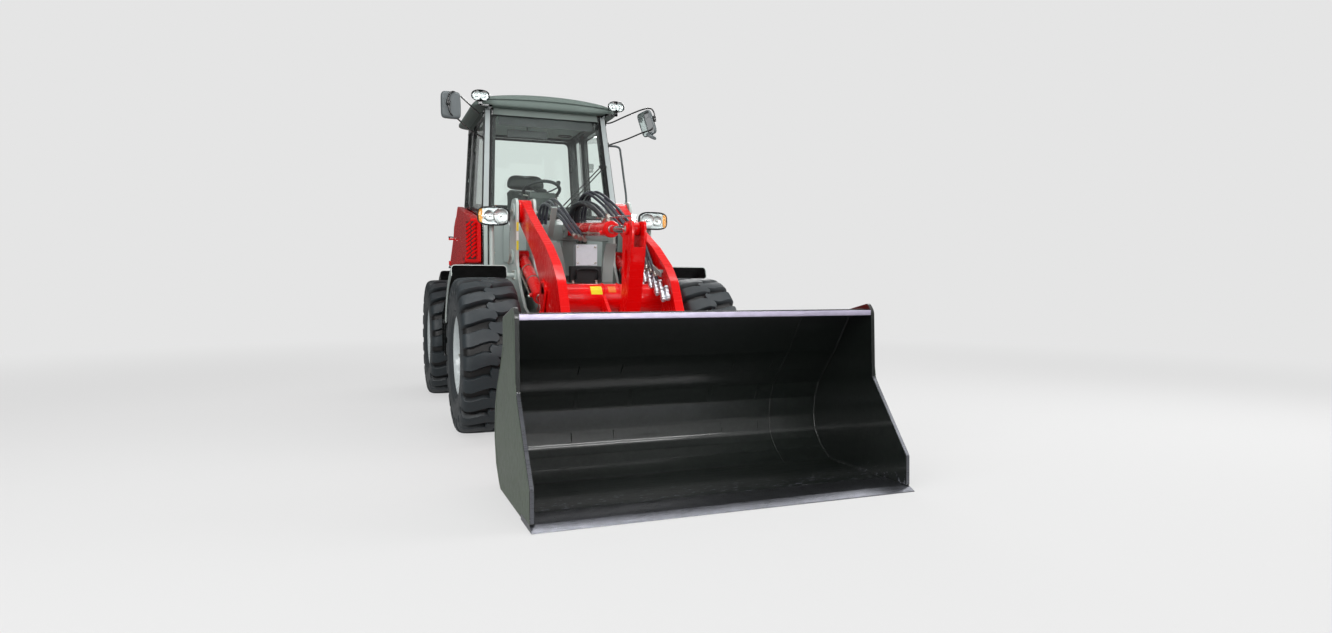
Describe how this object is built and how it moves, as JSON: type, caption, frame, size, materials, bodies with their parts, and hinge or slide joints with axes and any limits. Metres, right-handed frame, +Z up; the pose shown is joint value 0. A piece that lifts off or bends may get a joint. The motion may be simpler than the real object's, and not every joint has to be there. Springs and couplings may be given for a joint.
{
  "type": "compact articulated wheel loader",
  "caption": "Compact articulated wheel loader with glazed cab, lifting arms, central tilt lever and a wide bucket.",
  "frame": {"origin": "on the ground, on the centre plane, halfway between the bucket's edge and the rear end", "axes": "the front faces -Y, the machine's left is +X and +Z is up; the machine is straight and its bucket lies on the ground"},
  "size_m": [1.97, 5.89, 2.7],
  "materials": {
    "tyre_rubber": "moulded tyre rubber, matt",
    "rim_silver": "light grey rim paint",
    "frame_grey": "grey structural paint, satin",
    "arm_red": "bright red enamel, gloss",
    "bucket_black": "black enamel over welded plate",
    "edge_steel": "worn hardened steel",
    "cab_black": "black powder coat, gloss",
    "roof_grey": "grey moulded roof shell",
    "cab_glass": "light green tinted safety glass",
    "trim_plastic": "black moulded plastic",
    "seat_fabric": "dark grey woven seat cover",
    "cylinder_chrome": "hard chromed rod",
    "lamp_lens": "clear lamp lens over chrome reflector",
    "tail_red": "red moulded lens",
    "engine_iron": "cast iron, grey paint",
    "valve_steel": "machined steel",
    "mirror_shell": "grey moulded mirror shell",
    "exhaust_steel": "heat stained steel"
  },
  "bodies": {
    "rear_chassis": {"rear_frame": "frame_grey", "rear_axle": "frame_grey", "engine_block": "engine_iron", "radiator": "trim_plastic", "counterweight": "frame_grey", "cab_frame": "cab_black", "cab_floor": "frame_grey", "cab_roof": "roof_grey", "windscreen": "cab_glass", "cab_windows": "cab_glass", "operator_seat": "seat_fabric", "steering_column": "trim_plastic", "side_console": "trim_plastic", "mirrors": "mirror_shell", "work_lights": "lamp_lens", "rear_fenders": "frame_grey", "cab_steps": "cab_black", "tail_lights": "tail_red"},
    "front_chassis": {"front_frame": "frame_grey", "left_tower": "frame_grey", "right_tower": "frame_grey", "front_axle": "frame_grey", "front_fenders": "frame_grey", "headlight_stalks": "frame_grey", "headlights": "lamp_lens", "control_valve": "valve_steel"},
    "loader_arms": {"loader_arms": "arm_red"},
    "tilt_lever": {"tilt_lever": "arm_red"},
    "tilt_link": {"tilt_link": "arm_red"},
    "bucket": {"quick_coupler": "arm_red", "bucket": "bucket_black", "cutting_edge": "edge_steel"},
    "lift_barrels": {"lift_barrels": "arm_red"},
    "lift_rods": {"lift_rods": "cylinder_chrome"},
    "tilt_barrel": {"tilt_barrel": "arm_red"},
    "tilt_rod": {"tilt_rod": "cylinder_chrome"},
    "steer_barrel_left": {"steer_barrel_left": "cab_black"},
    "steer_barrel_right": {"steer_barrel_right": "cab_black"},
    "steer_rod_left": {"steer_rod_left": "cylinder_chrome"},
    "steer_rod_right": {"steer_rod_right": "cylinder_chrome"},
    "left_door": {"left_door": "cab_black", "left_door_glass": "cab_glass"},
    "side_cover": {"side_cover": "arm_red"},
    "engine_hood": {"engine_hood": "arm_red", "exhaust_stack": "exhaust_steel"},
    "front_left_wheel": {"front_left_tyre": "tyre_rubber", "front_left_rim": "rim_silver"},
    "front_right_wheel": {"front_right_tyre": "tyre_rubber", "front_right_rim": "rim_silver"},
    "rear_left_wheel": {"rear_left_tyre": "tyre_rubber", "rear_left_rim": "rim_silver"},
    "rear_right_wheel": {"rear_right_tyre": "tyre_rubber", "rear_right_rim": "rim_silver"}
  },
  "joints": [
    {"name": "steer", "type": "hinge", "parent": "rear_chassis", "child": "front_chassis", "pos_m": [0, 0.61, 0.66], "axis": [0, 0, 1], "range_deg": [-40, 40]},
    {"name": "lift", "type": "hinge", "parent": "front_chassis", "child": "loader_arms", "pos_m": [0, 0.04, 1.59], "axis": [-1, 0, 0], "range_deg": [0, 75]},
    {"name": "bucket_tilt", "type": "hinge", "parent": "loader_arms", "child": "bucket", "pos_m": [0, -1.83, 0.28], "axis": [-1, 0, 0], "range_deg": [-105, 42]},
    {"name": "lever_swing", "type": "hinge", "parent": "loader_arms", "child": "tilt_lever", "pos_m": [0, -1.345, 0.66], "axis": [1, 0, 0], "range_deg": [-21.37, 9.15]},
    {"name": "link_swing", "type": "hinge", "parent": "tilt_lever", "child": "tilt_link", "pos_m": [0, -1.51, 0.31], "axis": [1, 0, 0], "range_deg": [-26.75, 65.36]},
    {"name": "lift_barrel_swing", "type": "hinge", "parent": "front_chassis", "child": "lift_barrels", "pos_m": [0, 0.11, 1.245], "axis": [-1, 0, 0], "range_deg": [0, 70.53]},
    {"name": "lift_rod_slide", "type": "slide", "parent": "lift_barrels", "child": "lift_rods", "axis": [0, -0.9005, -0.435], "range_m": [0, 0.4222]},
    {"name": "tilt_barrel_swing", "type": "hinge", "parent": "front_chassis", "child": "tilt_barrel", "pos_m": [0, 0.04, 1.463], "axis": [-1, 0, 0], "range_deg": [0, 73.38]},
    {"name": "tilt_rod_slide", "type": "slide", "parent": "tilt_barrel", "child": "tilt_rod", "axis": [0, -0.9979, -0.065], "range_m": [-0.2562, 0.1037]},
    {"name": "door_hinge", "type": "hinge", "parent": "rear_chassis", "child": "left_door", "pos_m": [0.614, 1.608, 1.7], "axis": [0, 0, 1], "range_deg": [0, 100]},
    {"name": "cover_hinge", "type": "hinge", "parent": "rear_chassis", "child": "side_cover", "pos_m": [-0.735, 2, 1.5], "axis": [0, 0, -1], "range_deg": [0, 80]},
    {"name": "hood_hinge", "type": "hinge", "parent": "rear_chassis", "child": "engine_hood", "pos_m": [0, 2.04, 1.785], "axis": [1, 0, 0], "range_deg": [0, 50]},
    {"name": "steer_barrel_left_swing", "type": "hinge", "parent": "rear_chassis", "child": "steer_barrel_left", "pos_m": [0.23, 1.03, 0.64], "axis": [0, 0, 1], "range_deg": [-11, 11]},
    {"name": "steer_rod_left_slide", "type": "slide", "parent": "steer_barrel_left", "child": "steer_rod_left", "axis": [-0.0676, -0.9977, 0], "range_m": [-0.138, 0.138]},
    {"name": "steer_barrel_right_swing", "type": "hinge", "parent": "rear_chassis", "child": "steer_barrel_right", "pos_m": [-0.23, 1.03, 0.64], "axis": [0, 0, 1], "range_deg": [-11, 11]},
    {"name": "steer_rod_right_slide", "type": "slide", "parent": "steer_barrel_right", "child": "steer_rod_right", "axis": [0.0676, -0.9977, 0], "range_m": [-0.138, 0.138]},
    {"name": "front_left_spin", "type": "hinge", "parent": "front_chassis", "child": "front_left_wheel", "pos_m": [0.785, -0.5, 0.538], "axis": [1, 0, 0], "continuous": true},
    {"name": "front_right_spin", "type": "hinge", "parent": "front_chassis", "child": "front_right_wheel", "pos_m": [-0.785, -0.5, 0.538], "axis": [1, 0, 0], "continuous": true},
    {"name": "rear_left_spin", "type": "hinge", "parent": "rear_chassis", "child": "rear_left_wheel", "pos_m": [0.785, 1.72, 0.538], "axis": [1, 0, 0], "continuous": true},
    {"name": "rear_right_spin", "type": "hinge", "parent": "rear_chassis", "child": "rear_right_wheel", "pos_m": [-0.785, 1.72, 0.538], "axis": [1, 0, 0], "continuous": true}
  ],
  "couplings": [
    {"joint": "lever_swing", "follows": "bucket_tilt", "ratio": 0.194},
    {"joint": "link_swing", "follows": "bucket_tilt", "ratio": -0.613},
    {"joint": "lift_barrel_swing", "follows": "lift", "ratio": 0.927},
    {"joint": "lift_rod_slide", "follows": "lift", "m_per_rad": 0.321},
    {"joint": "tilt_barrel_swing", "follows": "lift", "ratio": 0.965},
    {"joint": "tilt_rod_slide", "follows": "bucket_tilt", "m_per_rad": 0.13874},
    {"joint": "steer_barrel_left_swing", "follows": "steer", "ratio": 0.24},
    {"joint": "steer_rod_left_slide", "follows": "steer", "m_per_rad": -0.194},
    {"joint": "steer_barrel_right_swing", "follows": "steer", "ratio": 0.24},
    {"joint": "steer_rod_right_slide", "follows": "steer", "m_per_rad": 0.194}
  ]
}
